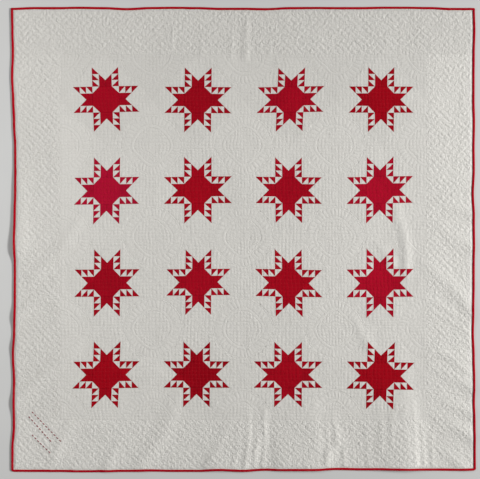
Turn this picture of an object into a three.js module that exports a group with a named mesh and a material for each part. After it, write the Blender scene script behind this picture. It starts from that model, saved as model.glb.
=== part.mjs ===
import * as THREE from 'three';
import { ConvexHull } from 'three/addons/math/ConvexHull.js';

// A pieced quilt lying flat, seen from above: sixteen feathered stars set on point in a white
// ground, quilted all over and bound in red. Millimetres, +Z up, floor at z = 0, origin under
// the middle. Rows of stars run along X, and the top of the quilt is towards +Y.

// Outline, and the patchwork in it
const quiltWidth = 2194;
const quiltLength = 2198;
const blockSide = 304.8;
const starsPerSide = 4;
const fieldShift = 11.5;

// Feathered star, from its centre along its own axes
const featherInner = 28.8;
const featherOuter = 60.3;
const notchReach = 89.4;
const pointReach = 118.2;
const tipReach = 149.7;

// Feather wreath in the plain blocks
const wreathStem = 92;
const wreathLobe = 117;
const wreathRim = 141;
const wreathLobes = 20;
const wreathGridStep = 41;
const wreathGridReach = 78;

// Quilting in the border, and the steps that the field takes along its edge
const borderSteps = 5;
const fieldSteps = 38;

// Cloth: thickness along the stitches, and how far it puffs up between them
const stitchedThickness = 2.6;
const puffHeight = 1.4;
const rimThickness = 1.6;

// Binding: a folded strip over the raw edge
const bindingWidth = 9.5;
const bindingCloth = 1.0;
const clearance = 0.3;

// Points closer than this share one stitch
const stitchSpacing = 13;

// A puff on the line between two triangles belongs to either, and one this close to the long
// side, as a share of the triangle's height, takes in both
const onLine = -0.01;
const nearDiagonal = 0.25;

const halfWidth = quiltWidth / 2;
const halfLength = quiltLength / 2;
const blockDiagonal = blockSide * Math.SQRT2;
const halfField = blockDiagonal * starsPerSide / 2;
const rawEdgeInset = bindingCloth + clearance;
const rimInset = bindingWidth + 1.1;
const rimUnderside = bindingCloth + clearance;
const rimTop = rimUnderside + rimThickness;

// Where each edge draws in from a straight line, at even steps: the left and right edges from
// the top down, the top and bottom edges from left to right.
const edgeDraw = [
  { left: 0, right: 4.7, top: 5.5, bottom: 3.8 },
  { left: 1.9, right: 2.1, top: 1.6, bottom: 3.1 },
  { left: 4.2, right: 5.1, top: 1.7, bottom: 2.9 },
  { left: 0.5, right: 5.9, top: 0.1, bottom: 0.9 },
  { left: 5.6, right: 6.2, top: 1.8, bottom: 1.9 },
  { left: 9.7, right: 3.8, top: 6.3, bottom: 3.2 },
  { left: 15.2, right: 5.8, top: 1.5, bottom: 4.9 },
  { left: 15.7, right: 4.8, top: 0.2, bottom: 3.1 },
  { left: 15.3, right: 9.2, top: 1.7, bottom: 3.2 },
  { left: 12.4, right: 5.2, top: 5.1, bottom: 7.8 },
  { left: 10.4, right: 4.1, top: 5, bottom: 3.9 },
  { left: 13.6, right: 5.3, top: 6.6, bottom: 8.3 },
  { left: 13.5, right: 5.3, top: 1.8, bottom: 7.7 },
  { left: 12.7, right: 7.8, top: 1.1, bottom: 8 },
  { left: 10, right: 9.2, top: 1.9, bottom: 11.9 },
  { left: 4.8, right: 5.3, top: 1.8, bottom: 10.4 },
  { left: 9.7, right: 2.9, top: 0, bottom: 11.4 },
  { left: 8.6, right: 4.3, top: 0.1, bottom: 10.6 },
  { left: 9.2, right: 1.3, top: 1.6, bottom: 9.4 },
  { left: 1.9, right: 0.4, top: 6, bottom: 8.3 },
  { left: 1.9, right: 0, top: 6.1, bottom: 9.4 },
];
const drawDepth = 220;

const cornerRadius = { topLeft: 3, topRight: 6, bottomLeft: 12, bottomRight: 12 };

// Soft folds, a row each: start and end, sideways bend at the middle, lift at the start and at
// the end, width on the left of the run, and how many times wider the right of the run is.
// Lifts add up where folds cross.
const folds = [
  { x0: 742, y0: -640, x1: 775, y1: -1100, bend: 4, lift0: 3, lift1: 10, width: 50, skew: 3 },
  { x0: 325, y0: -800, x1: 340, y1: -1100, bend: 6, lift0: 3, lift1: 7, width: 50, skew: 2.4 },
  { x0: 8, y0: -800, x1: -3, y1: -1100, bend: 10, lift0: 2.5, lift1: 5.5, width: 36, skew: 3 },
  { x0: -95, y0: -900, x1: -128, y1: -1100, bend: -8, lift0: 1, lift1: 5, width: 58, skew: 1 },
  { x0: 172, y0: -1100, x1: 160, y1: -880, bend: 0, lift0: 5, lift1: 1.2, width: 34, skew: 3 },
  { x0: 760, y0: -950, x1: 760, y1: -1100, bend: 0, lift0: 0.5, lift1: 3, width: 110, skew: 1.3 },
  { x0: 425, y0: -885, x1: 405, y1: -1020, bend: 18, lift0: 1.1, lift1: 4.5, width: 27, skew: 1 },
  { x0: 90, y0: -860, x1: 50, y1: -1010, bend: 8, lift0: 1.4, lift1: 3, width: 24, skew: 1 },
  { x0: -325, y0: -770, x1: -470, y1: -1040, bend: 21, lift0: 2.1, lift1: 4.5, width: 38, skew: 1 },
  { x0: 730, y0: 110, x1: 765, y1: -125, bend: 16, lift0: 2.1, lift1: 4.5, width: 24, skew: 1 },
  { x0: 875, y0: -135, x1: 1095, y1: -360, bend: 20, lift0: 2.1, lift1: 5.2, width: 35, skew: 1 },
  { x0: 955, y0: 35, x1: 1100, y1: -45, bend: 1, lift0: 1.4, lift1: 4.5, width: 38, skew: 1 },
  { x0: 965, y0: 165, x1: 1100, y1: 115, bend: 7, lift0: 1.4, lift1: 4.5, width: 35, skew: 1 },
  { x0: 930, y0: -525, x1: 1050, y1: -615, bend: 5, lift0: 1.4, lift1: 3, width: 24, skew: 1 },
  { x0: 950, y0: -630, x1: 1090, y1: -705, bend: 4, lift0: 1.4, lift1: 5.2, width: 30, skew: 1 },
  { x0: 965, y0: -775, x1: 1080, y1: -820, bend: 1, lift0: 1.4, lift1: 3.8, width: 27, skew: 1 },
  { x0: 935, y0: -845, x1: 1080, y1: -935, bend: 4, lift0: 1.4, lift1: 4.5, width: 30, skew: 1 },
  { x0: 960, y0: -1020, x1: 1050, y1: -1100, bend: 2, lift0: 1.4, lift1: 4.5, width: 27, skew: 1 },
  { x0: 540, y0: -410, x1: 590, y1: -500, bend: 2, lift0: 1.4, lift1: 3, width: 24, skew: 1 },
  { x0: 640, y0: -30, x1: 690, y1: -100, bend: 4, lift0: 1.4, lift1: 3.8, width: 24, skew: 1 },
  { x0: -1065, y0: 230, x1: -1060, y1: 5, bend: -2, lift0: 2.8, lift1: 4, width: 40, skew: 1 },
  { x0: -862, y0: 5, x1: -1085, y1: -52, bend: 0, lift0: 1.5, lift1: 6, width: 34, skew: 2.5 },
  { x0: -845, y0: -40, x1: -990, y1: -170, bend: -1, lift0: 1.4, lift1: 3.8, width: 35, skew: 1 },
  { x0: -910, y0: -225, x1: -1090, y1: -365, bend: 0, lift0: 1.4, lift1: 4.5, width: 32, skew: 1 },
  { x0: -805, y0: -530, x1: -1090, y1: -775, bend: -7, lift0: 1.4, lift1: 4.5, width: 32, skew: 1 },
  { x0: -870, y0: -390, x1: -1080, y1: -505, bend: -2, lift0: 1.1, lift1: 3, width: 30, skew: 1 },
  { x0: -760, y0: 110, x1: -835, y1: 5, bend: -3, lift0: 1.4, lift1: 2.2, width: 27, skew: 1 },
  { x0: -580, y0: -635, x1: -450, y1: -620, bend: -2, lift0: 2.8, lift1: 1.5, width: 24, skew: 1 },
  { x0: -505, y0: -580, x1: -380, y1: -510, bend: 8, lift0: 2.1, lift1: 1.5, width: 24, skew: 1 },
  { x0: -825, y0: -890, x1: -890, y1: -1025, bend: -4, lift0: 1.4, lift1: 3, width: 27, skew: 1 },
  { x0: -590, y0: -955, x1: -645, y1: -1100, bend: -7, lift0: 1.1, lift1: 3.8, width: 30, skew: 1 },
];

const whiteCotton = new THREE.MeshStandardMaterial({ color: '#cfcdc7', roughness: 0.95, metalness: 0 });
const redCotton = new THREE.MeshStandardMaterial({ color: '#a3121f', roughness: 0.9, metalness: 0 });

const { clamp, lerp, smoothstep } = THREE.MathUtils;

// Shape in which the cloth lies. A flat place is given as u and v, measured before the edges
// draw in and the corners round off.

function foldLift(u, v) {
  const x = clamp(u, rimInset - halfWidth, halfWidth - rimInset);
  const y = clamp(v, rimInset - halfLength, halfLength - rimInset);
  let lift = 0;
  for (const fold of folds) {
    const runX = fold.x1 - fold.x0;
    const runY = fold.y1 - fold.y0;
    const length = Math.hypot(runX, runY);
    const along = ((x - fold.x0) * runX + (y - fold.y0) * runY) / length;
    const t = clamp(along / length, 0, 1);
    const sideways = ((y - fold.y0) * runX - (x - fold.x0) * runY) / length;
    const off = sideways - fold.bend * 4 * t * (1 - t);
    const across = off / (off > 0 ? fold.width : fold.width * fold.skew);
    const beyond = (along - t * length) / (2 * fold.width);
    const crest = lerp(fold.lift0, fold.lift1, t);
    lift += crest * Math.exp(-across * across - beyond * beyond);
  }
  return lift;
}

function drawnIn(side, at) {
  const step = clamp(at, 0, 1) * (edgeDraw.length - 1);
  const row = Math.min(Math.floor(step), edgeDraw.length - 2);
  return lerp(edgeDraw[row][side], edgeDraw[row + 1][side], smoothstep(step - row, 0, 1));
}

// 1 at the edge and across the binding, falling to 0 at the inside of the border
function nearEdge(inset) {
  return 1 - smoothstep(inset, rimInset, drawDepth);
}

function roundedCorner(u, v) {
  const corner = (v > 0 ? 'top' : 'bottom') + (u > 0 ? 'Right' : 'Left');
  const radius = cornerRadius[corner];
  const outX = Math.max(0, Math.abs(u) - (halfWidth - radius));
  const outY = Math.max(0, Math.abs(v) - (halfLength - radius));
  const shrink = outX > 0 && outY > 0 ? Math.max(outX, outY) / Math.hypot(outX, outY) : 1;
  const x = Math.sign(u) * (Math.abs(u) - outX * (1 - shrink));
  const y = Math.sign(v) * (Math.abs(v) - outY * (1 - shrink));
  return { x, y };
}

function place(u, v, z) {
  const { x, y } = roundedCorner(u, v);
  const across = (u + halfWidth) / quiltWidth;
  const down = (halfLength - v) / quiltLength;
  const drawn = (side, at, inset) => drawnIn(side, at) * nearEdge(inset);
  const drawX = drawn('left', down, u + halfWidth) - drawn('right', down, halfWidth - u);
  const drawY = drawn('bottom', across, v + halfLength) - drawn('top', across, halfLength - v);
  return [x + drawX, y + drawY, z];
}

// The raw edge, the inside of the binding, and the quilting's steps across borders and field
function latticeLines(half, shift) {
  const rim = half - rimInset;
  const lines = [-half + rawEdgeInset];
  for (let i = 0; i <= borderSteps; i++) {
    lines.push(lerp(-rim, shift - halfField, i / borderSteps));
  }
  for (let i = 1; i <= fieldSteps; i++) {
    lines.push(lerp(shift - halfField, shift + halfField, i / fieldSteps));
  }
  for (let i = 1; i <= borderSteps; i++) {
    lines.push(lerp(shift + halfField, rim, i / borderSteps));
  }
  lines.push(half - rawEdgeInset);
  return lines;
}

const linesU = latticeLines(halfWidth, 0);
const linesV = latticeLines(halfLength, fieldShift);
const fieldStart = 1 + borderSteps;
const fieldEnd = fieldStart + fieldSteps;

// Stitched points, which lie low, and puffs between them, which stand high

class Quilting {
  constructor() {
    this.stitches = [];
    this.puffs = [];
  }

  // lean tips the choice between the two diagonals of a patch
  stitch(u, v, lean = 0) {
    const near = this.stitches.some((s) => Math.hypot(s.u - u, s.v - v) < stitchSpacing);
    if (!near) {
      this.stitches.push({ u, v, lean });
    }
  }

  rim(u, v) {
    this.stitches.push({ u, v, lean: 0 });
  }

  puff(u, v) {
    this.puffs.push({ u, v });
  }
}

function insideField(u, v, margin) {
  return Math.abs(u) < halfField - margin && Math.abs(v - fieldShift) < halfField - margin;
}

// Diamond grid: every second crossing of the lattice is a stitch, and the ones between puff
function addBorder(quilting) {
  const last = linesU.length - 1;
  for (let i = 0; i <= last; i++) {
    for (let j = 0; j <= last; j++) {
      const u = linesU[i];
      const v = linesV[j];
      const onRimLines = i <= 1 || i >= last - 1 || j <= 1 || j >= last - 1;
      const inField = i > fieldStart && i < fieldEnd && j > fieldStart && j < fieldEnd;
      const inBorder = i < fieldStart || i > fieldEnd || j < fieldStart || j > fieldEnd;
      if (onRimLines) {
        quilting.rim(u, v);
      } else if (inBorder && (i + j) % 2 === 1) {
        quilting.puff(u, v);
      } else if (!inField) {
        quilting.stitch(u, v);
      }
    }
  }
}

// One eighth of a star, mirrored about both axes and both diagonals
const starStitches = [
  { x: 0, y: 0, lean: 0 },
  { x: featherInner, y: 0, lean: 0 },
  { x: featherInner, y: featherInner, lean: -1 },
  { x: featherOuter, y: 0, lean: 0 },
  { x: featherOuter, y: featherInner, lean: -2 },
  { x: featherOuter, y: featherOuter, lean: -1 },
  { x: notchReach, y: 0, lean: 0 },
  { x: notchReach, y: featherInner, lean: -3 },
  { x: notchReach, y: featherOuter, lean: -6 },
  { x: pointReach, y: 0, lean: 0 },
  { x: pointReach, y: featherInner, lean: -4 },
  { x: pointReach, y: featherOuter, lean: -8 },
  { x: tipReach, y: featherInner, lean: -5 },
  { x: tipReach, y: featherOuter, lean: -10 },
];
const starPuffs = [
  { x: featherInner / 2, y: featherInner / 2 },
  { x: (featherInner + featherOuter) / 2, y: featherInner / 2 },
  { x: (featherOuter + notchReach) / 2, y: featherInner / 2 },
  { x: (2 * featherInner + featherOuter) / 3, y: (2 * featherInner + featherOuter) / 3 },
  { x: (2 * notchReach + pointReach) / 3, y: 2 * featherInner / 3 },
  { x: (2 * featherOuter + notchReach) / 3, y: (featherInner + 2 * featherOuter) / 3 },
  { x: (2 * notchReach + pointReach) / 3, y: (featherInner + 2 * featherOuter) / 3 },
  { x: (2 * pointReach + tipReach) / 3, y: (featherInner + 2 * featherOuter) / 3 },
];

function eightfold({ x, y }, draw) {
  const turns = [[x, y], [y, x]];
  for (const [a, b] of x === y ? turns.slice(1) : turns) {
    for (const signA of a === 0 ? [1] : [1, -1]) {
      for (const signB of b === 0 ? [1] : [1, -1]) {
        draw(signA * a, signB * b);
      }
    }
  }
}

function addStar(quilting, centreU, centreV) {
  for (const row of starStitches) {
    eightfold(row, (x, y) => quilting.stitch(centreU + x, centreV + y, row.lean));
  }
  for (const row of starPuffs) {
    eightfold(row, (x, y) => quilting.puff(centreU + x, centreV + y));
  }
}

// Seams between the star block and its neighbours, and the plain patches beside the star
function addBlockGround(quilting, centreU, centreV) {
  const quarter = blockDiagonal / 4;
  const patch = (featherOuter + quarter) / 2 + stitchSpacing / 2;
  eightfold({ x: quarter, y: quarter }, (x, y) => quilting.stitch(centreU + x, centreV + y));
  eightfold({ x: 2 * quarter, y: 0 }, (x, y) => quilting.stitch(centreU + x, centreV + y));
  eightfold({ x: patch, y: patch }, (x, y) => quilting.puff(centreU + x, centreV + y));
}

// Ring of feathers round a squared centre; only what lies in the field is stitched
function addWreath(quilting, centreU, centreV) {
  const halfSteps = Math.floor(2 * wreathGridReach / wreathGridStep);
  for (let i = -halfSteps; i <= halfSteps; i++) {
    for (let j = -halfSteps; j <= halfSteps; j++) {
      const x = i * wreathGridStep / 2;
      const y = j * wreathGridStep / 2;
      const u = centreU + x;
      const v = centreV + y;
      const inCentre = Math.hypot(x, y) < wreathGridReach && insideField(u, v, 0);
      if (inCentre && i % 2 === 0 && j % 2 === 0) {
        quilting.stitch(u, v);
      } else if (inCentre && i % 2 !== 0 && j % 2 !== 0) {
        quilting.puff(u, v);
      }
    }
  }
  for (let i = 0; i < wreathLobes; i++) {
    const angle = 2 * Math.PI * i / wreathLobes;
    const between = angle + Math.PI / wreathLobes;
    for (const radius of [wreathStem, wreathRim]) {
      const u = centreU + radius * Math.cos(angle);
      const v = centreV + radius * Math.sin(angle);
      if (insideField(u, v, stitchSpacing)) {
        quilting.stitch(u, v);
      }
    }
    const lobeU = centreU + wreathLobe * Math.cos(between);
    const lobeV = centreV + wreathLobe * Math.sin(between);
    if (insideField(lobeU, lobeV, stitchSpacing)) {
      quilting.puff(lobeU, lobeV);
    }
  }
}

// Triangles between stitched points: the lower side of the hull of the points lifted onto a
// bowl. The outline bows out a little there, so that each point on it is a corner of the hull.
function triangulate(points) {
  const bowl = 1000;
  const bow = 1e-4;
  const lifted = points.map(({ u, v, lean }, index) => {
    const x = u * (1 + bow * (1 - (v / halfLength) ** 2));
    const y = v * (1 + bow * (1 - (u / halfWidth) ** 2));
    const corner = new THREE.Vector3(x, y, (x * x + y * y + lean) / bowl);
    corner.index = index;
    return corner;
  });
  const hull = new ConvexHull().setFromPoints(lifted);
  const triangles = [];
  for (const face of hull.faces) {
    if (face.normal.z < -0.05) {
      const [a, b, c] = [2, 1, 0].map((i) => face.getEdge(i).head().point.index);
      triangles.push([a, b, c]);
    }
  }
  return triangles;
}

function signedArea(a, b, c) {
  return ((b.u - a.u) * (c.v - a.v) - (c.u - a.u) * (b.v - a.v)) / 2;
}

// Raises a puff inside the patch that holds it. A puff that lies close to the long side of its
// triangle takes in the triangle across that side too.
function insertPuff(points, triangles, puff) {
  const inside = (a, b) => signedArea(points[a], points[b], puff) > onLine;
  const holder = triangles.findIndex(([a, b, c]) => inside(a, b) && inside(b, c) && inside(c, a));
  if (holder < 0) {
    return;
  }
  const corners = triangles[holder];
  const sides = corners.map((a, i) => {
    const b = corners[(i + 1) % 3];
    const length = Math.hypot(points[a].u - points[b].u, points[a].v - points[b].v);
    return { a, b, length, offset: 2 * signedArea(points[a], points[b], puff) / length };
  });
  const longest = sides.reduce((best, side) => (side.length > best.length ? side : best));
  const height = 2 * signedArea(...corners.map((i) => points[i])) / longest.length;
  const shares = (triangle, i) => triangle[i] === longest.b && triangle[(i + 1) % 3] === longest.a;
  const neighbour = triangles.findIndex((triangle) => [0, 1, 2].some((i) => shares(triangle, i)));
  let outline = corners;
  if (longest.offset < nearDiagonal * height && neighbour >= 0) {
    const far = triangles[neighbour].find((corner) => corner !== longest.a && corner !== longest.b);
    const start = corners.indexOf(longest.b);
    outline = [longest.b, corners[(start + 1) % 3], longest.a, far];
    triangles.splice(Math.max(holder, neighbour), 1);
    triangles.splice(Math.min(holder, neighbour), 1);
  } else {
    triangles.splice(holder, 1);
  }
  const top = points.push(puff) - 1;
  outline.forEach((corner, i) => triangles.push([corner, outline[(i + 1) % outline.length], top]));
}

// A closed skin: corners shared between its faces
class Skin {
  constructor() {
    this.corners = [];
    this.faces = [];
  }

  corner(u, v, z) {
    return this.corners.push(place(u, v, z + foldLift(u, v))) - 1;
  }

  face(a, b, c) {
    this.faces.push(a, b, c);
  }

  quad(a, b, c, d) {
    this.face(a, b, c);
    this.face(a, c, d);
  }

  mesh(name, material) {
    const geometry = new THREE.BufferGeometry();
    geometry.setAttribute('position', new THREE.Float32BufferAttribute(this.corners.flat(), 3));
    geometry.setIndex(this.faces);
    geometry.computeVertexNormals();
    const mesh = new THREE.Mesh(geometry, material);
    mesh.name = name;
    return mesh;
  }
}

function onRim({ u, v }) {
  return Math.abs(u) > halfWidth - rimInset - 0.01 || Math.abs(v) > halfLength - rimInset - 0.01;
}

// The underside lies on the floor and rises under the folds, never past the cloth above it
function undersideLift(u, v) {
  const reach = 45;
  let lift = foldLift(u, v);
  for (const du of [-reach, 0, reach]) {
    for (const dv of [-reach, 0, reach]) {
      lift = Math.min(lift, foldLift(u + du, v + dv));
    }
  }
  return lift < 0.05 ? 0 : lift;
}

// Coarse points of the underside: the rim's own, and every second or every sixth crossing inside
function undersidePoints() {
  const points = [];
  const last = linesU.length - 1;
  for (let i = 0; i <= last; i++) {
    for (let j = 0; j <= last; j++) {
      const rim = i <= 1 || i >= last - 1 || j <= 1 || j >= last - 1;
      const inField = i > fieldStart && i < fieldEnd && j > fieldStart && j < fieldEnd;
      const stride = inField ? 6 : 2;
      if (rim || (i % stride === 0 && j % stride === 0)) {
        points.push({ u: linesU[i], v: linesV[j], lean: 0 });
      }
    }
  }
  return points;
}

function openEdges(triangles) {
  const seen = new Set(triangles.flatMap(([a, b, c]) => [`${a} ${b}`, `${b} ${c}`, `${c} ${a}`]));
  const sides = triangles.flatMap(([a, b, c]) => [[a, b], [b, c], [c, a]]);
  return sides.filter(([a, b]) => !seen.has(`${b} ${a}`));
}

// Rows of blocks, a block's diagonal apart, about the middle of the field
function eachBlock(perSide, draw) {
  const first = (1 - perSide) * blockDiagonal / 2;
  for (let i = 0; i < perSide; i++) {
    for (let j = 0; j < perSide; j++) {
      draw(first + i * blockDiagonal, fieldShift + first + j * blockDiagonal);
    }
  }
}

function quiltBody() {
  const quilting = new Quilting();
  eachBlock(starsPerSide, (u, v) => addStar(quilting, u, v));
  addBorder(quilting);
  eachBlock(starsPerSide + 1, (u, v) => addWreath(quilting, u, v));
  eachBlock(starsPerSide, (u, v) => addBlockGround(quilting, u, v));

  const skin = new Skin();
  const topPoints = quilting.stitches;
  const topTriangles = triangulate(topPoints);
  const stitchCount = topPoints.length;
  for (const puff of quilting.puffs) {
    insertPuff(topPoints, topTriangles, puff);
  }
  const top = topPoints.map((p, i) => {
    const z = stitchedThickness + (i < stitchCount ? 0 : puffHeight);
    return skin.corner(p.u, p.v, onRim(p) ? rimTop : z);
  });
  for (const [a, b, c] of topTriangles) {
    skin.face(top[a], top[b], top[c]);
  }

  const lowPoints = undersidePoints();
  const lowTriangles = triangulate(lowPoints);
  const low = lowPoints.map((p) => {
    const lift = undersideLift(p.u, p.v) - foldLift(p.u, p.v);
    return skin.corner(p.u, p.v, onRim(p) ? rimUnderside : lift);
  });
  for (const [a, b, c] of lowTriangles) {
    skin.face(low[c], low[b], low[a]);
  }

  const lowAt = new Map(lowPoints.map((p, i) => [`${p.u} ${p.v}`, low[i]]));
  const below = (i) => lowAt.get(`${topPoints[i].u} ${topPoints[i].v}`);
  for (const [a, b] of openEdges(topTriangles)) {
    skin.quad(below(a), below(b), top[b], top[a]);
  }
  return skin.mesh('quilt_body', whiteCotton);
}

// The binding's section: a strip folded over the edge, as steps in from the edge and heights
const sectionTop = rimTop + clearance + bindingCloth;
const bindingSection = [
  { inset: bindingWidth, z: sectionTop },
  { inset: 0, z: sectionTop },
  { inset: 0, z: 0 },
  { inset: bindingWidth, z: 0 },
  { inset: bindingWidth, z: bindingCloth },
  { inset: bindingCloth, z: bindingCloth },
  { inset: bindingCloth, z: sectionTop - bindingCloth },
  { inset: bindingWidth, z: sectionTop - bindingCloth },
];

// A strip along one side. at(along, inset) gives the flat place; ends that are folded shut
// cover the quilt's corner, and plain ends meet the strip round the corner.
function bindingStrip(name, stations, foldedEnds, at) {
  const skin = new Skin();
  const rings = stations.map((along) => bindingSection.map(({ inset, z }) => {
    const { u, v } = at(along, inset);
    return skin.corner(u, v, z);
  }));
  const openRing = [0, 1, 2, 3, 4, 5, 6, 7];
  const shutRing = [0, 1, 2, 3, 4, 7];
  const lastRing = rings.length - 1;
  for (let k = 0; k < lastRing; k++) {
    const shut = foldedEnds && (k === 0 || k === lastRing - 1);
    const loop = shut ? shutRing : openRing;
    loop.forEach((corner, i) => {
      const next = loop[(i + 1) % loop.length];
      skin.quad(rings[k][corner], rings[k][next], rings[k + 1][next], rings[k + 1][corner]);
    });
  }
  const shutEnd = [[1, 2, 3], [1, 3, 4], [1, 4, 7], [1, 7, 0]];
  const openEnd = [[0, 1, 6], [0, 6, 7], [1, 2, 5], [1, 5, 6], [2, 3, 4], [2, 4, 5]];
  for (const [a, b, c] of foldedEnds ? shutEnd : openEnd) {
    skin.face(rings[0][c], rings[0][b], rings[0][a]);
    skin.face(rings[lastRing][a], rings[lastRing][b], rings[lastRing][c]);
  }
  if (foldedEnds) {
    const [start, end] = [rings[1], rings[lastRing - 1]];
    skin.quad(start[7], start[6], start[5], start[4]);
    skin.quad(end[4], end[5], end[6], end[7]);
  }
  return skin.mesh(name, redCotton);
}

function bindingStations(lines, half, foldedEnds) {
  const inner = lines.slice(1, -1);
  const corner = foldedEnds ? [0, bindingCloth, 5] : [bindingWidth + clearance];
  return [...corner.map((d) => d - half), ...inner, ...corner.map((d) => half - d).reverse()];
}

const quilt = new THREE.Group();
quilt.name = 'star_quilt';
quilt.add(quiltBody());

const across = bindingStations(linesU, halfWidth, true);
const down = bindingStations(linesV, halfLength, false);
const bindingSides = [
  { name: 'top', stations: across.toReversed(), folded: true, at: (s, d) => ({ u: s, v: halfLength - d }) },
  { name: 'bottom', stations: across, folded: true, at: (s, d) => ({ u: s, v: d - halfLength }) },
  { name: 'left', stations: down.toReversed(), folded: false, at: (s, d) => ({ u: d - halfWidth, v: s }) },
  { name: 'right', stations: down, folded: false, at: (s, d) => ({ u: halfWidth - d, v: s }) },
];
for (const { name, stations, folded, at } of bindingSides) {
  quilt.add(bindingStrip(`binding_${name}`, stations, folded, at));
}

export default quilt;
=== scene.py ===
import math
from collections import namedtuple

import bmesh
import bpy
import numpy as np
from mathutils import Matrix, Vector


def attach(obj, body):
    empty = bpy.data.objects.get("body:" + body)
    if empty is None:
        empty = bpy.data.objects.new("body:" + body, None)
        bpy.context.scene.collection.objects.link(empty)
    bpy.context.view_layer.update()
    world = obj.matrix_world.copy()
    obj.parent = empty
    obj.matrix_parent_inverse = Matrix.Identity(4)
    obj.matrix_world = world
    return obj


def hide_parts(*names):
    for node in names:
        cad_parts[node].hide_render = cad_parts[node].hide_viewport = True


# A pieced and quilted bed cover lying flat, seen from straight above: sixteen feathered stars
# set on point in a white ground, bound in red. Sizes are in millimetres until a mesh is made.

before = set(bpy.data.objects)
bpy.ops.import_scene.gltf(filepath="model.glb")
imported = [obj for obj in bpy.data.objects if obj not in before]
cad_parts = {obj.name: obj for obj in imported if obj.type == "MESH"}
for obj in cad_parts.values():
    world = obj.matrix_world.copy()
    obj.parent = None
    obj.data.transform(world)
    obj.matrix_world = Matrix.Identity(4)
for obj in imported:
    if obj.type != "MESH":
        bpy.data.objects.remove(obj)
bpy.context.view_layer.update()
MM = 0.001

# Outline and patchwork, as in the part
QUILT_WIDTH = 2194.0
QUILT_LENGTH = 2198.0
BLOCK_SIDE = 304.8
STARS_PER_SIDE = 4
FIELD_SHIFT = 11.5

# Feathered star, from its centre along its own axes
FEATHER_INNER = 28.8
FEATHER_OUTER = 60.3
NOTCH_REACH = 89.4
POINT_REACH = 118.2
TIP_REACH = 149.7

# Feather wreath in the plain blocks
WREATH_INNER = 85.0
WREATH_STEM = 99.0
WREATH_LOBE_FOOT = 135.0
WREATH_LOBE_TIP = 141.0
WREATH_RIM = 146.0
WREATH_LOBES = 40
WREATH_SWIRL = 0.06
STEPS_PER_LOBE = 6

# Quilting: pitch of the two grids, and how far the cloth puffs up between the lines
BORDER_PITCH = 23.8
GRID_PITCH = 16.5
BORDER_PUFF = 1.2
GRID_PUFF = 1.15
FEATHER_PUFF = 0.75
STEM_PUFF = 0.3
PUFF_ROUNDNESS = 0.6
LINE_WANDER = 3.0
WANDER_SIZE = 48.0

# Cloth: heights over the floor, the turned-under seam edges and the size of a mesh cell
STITCHED_HEIGHT = 1.2
SEAM_REACH = 2.4
SEAM_SHARE = 0.2
TURN_UNDER = 1.4
TURN_SLOPE = 0.7
TURN_DEPTH = 1.2
CELL = 4.15
BACKING_LIFT = 0.3
BACKING_CELL = 15.0
BACKING_REACH = 30.0

# Binding: a folded strip over the raw edge
BINDING_WIDTH = 11.2
BINDING_CLOTH = 1.0
BINDING_HEIGHT = 4.2
BINDING_CELL = 8.0
RIM_INSET = 10.6
TUCK_INSET = 4.0

HALF_WIDTH = QUILT_WIDTH / 2
HALF_LENGTH = QUILT_LENGTH / 2
BLOCK_DIAGONAL = BLOCK_SIDE * math.sqrt(2)
HALF_BLOCK = BLOCK_DIAGONAL / 2
HALF_FIELD = BLOCK_DIAGONAL * STARS_PER_SIDE / 2

# Where each edge draws in from a straight line, at even steps: the left and right edges from
# the top down, the top and bottom edges from left to right.
EDGE_DRAW = {
    "left": (
        0, 1.9, 4.2, 0.5, 5.6, 9.7, 15.2, 15.7, 15.3, 12.4, 10.4,
        13.6, 13.5, 12.7, 10, 4.8, 9.7, 8.6, 9.2, 1.9, 1.9,
    ),
    "right": (
        4.7, 2.1, 5.1, 5.9, 6.2, 3.8, 5.8, 4.8, 9.2, 5.2, 4.1,
        5.3, 5.3, 7.8, 9.2, 5.3, 2.9, 4.3, 1.3, 0.4, 0,
    ),
    "top": (
        5.5, 1.6, 1.7, 0.1, 1.8, 6.3, 1.5, 0.2, 1.7, 5.1, 5,
        6.6, 1.8, 1.1, 1.9, 1.8, 0, 0.1, 1.6, 6, 6.1,
    ),
    "bottom": (
        3.8, 3.1, 2.9, 0.9, 1.9, 3.2, 4.9, 3.1, 3.2, 7.8, 3.9,
        8.3, 7.7, 8, 11.9, 10.4, 11.4, 10.6, 9.4, 8.3, 9.4,
    ),
}
DRAW_DEPTH = 220.0
CORNER_RADIUS = {"top_left": 3.0, "top_right": 6.0, "bottom_left": 12.0, "bottom_right": 12.0}

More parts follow.
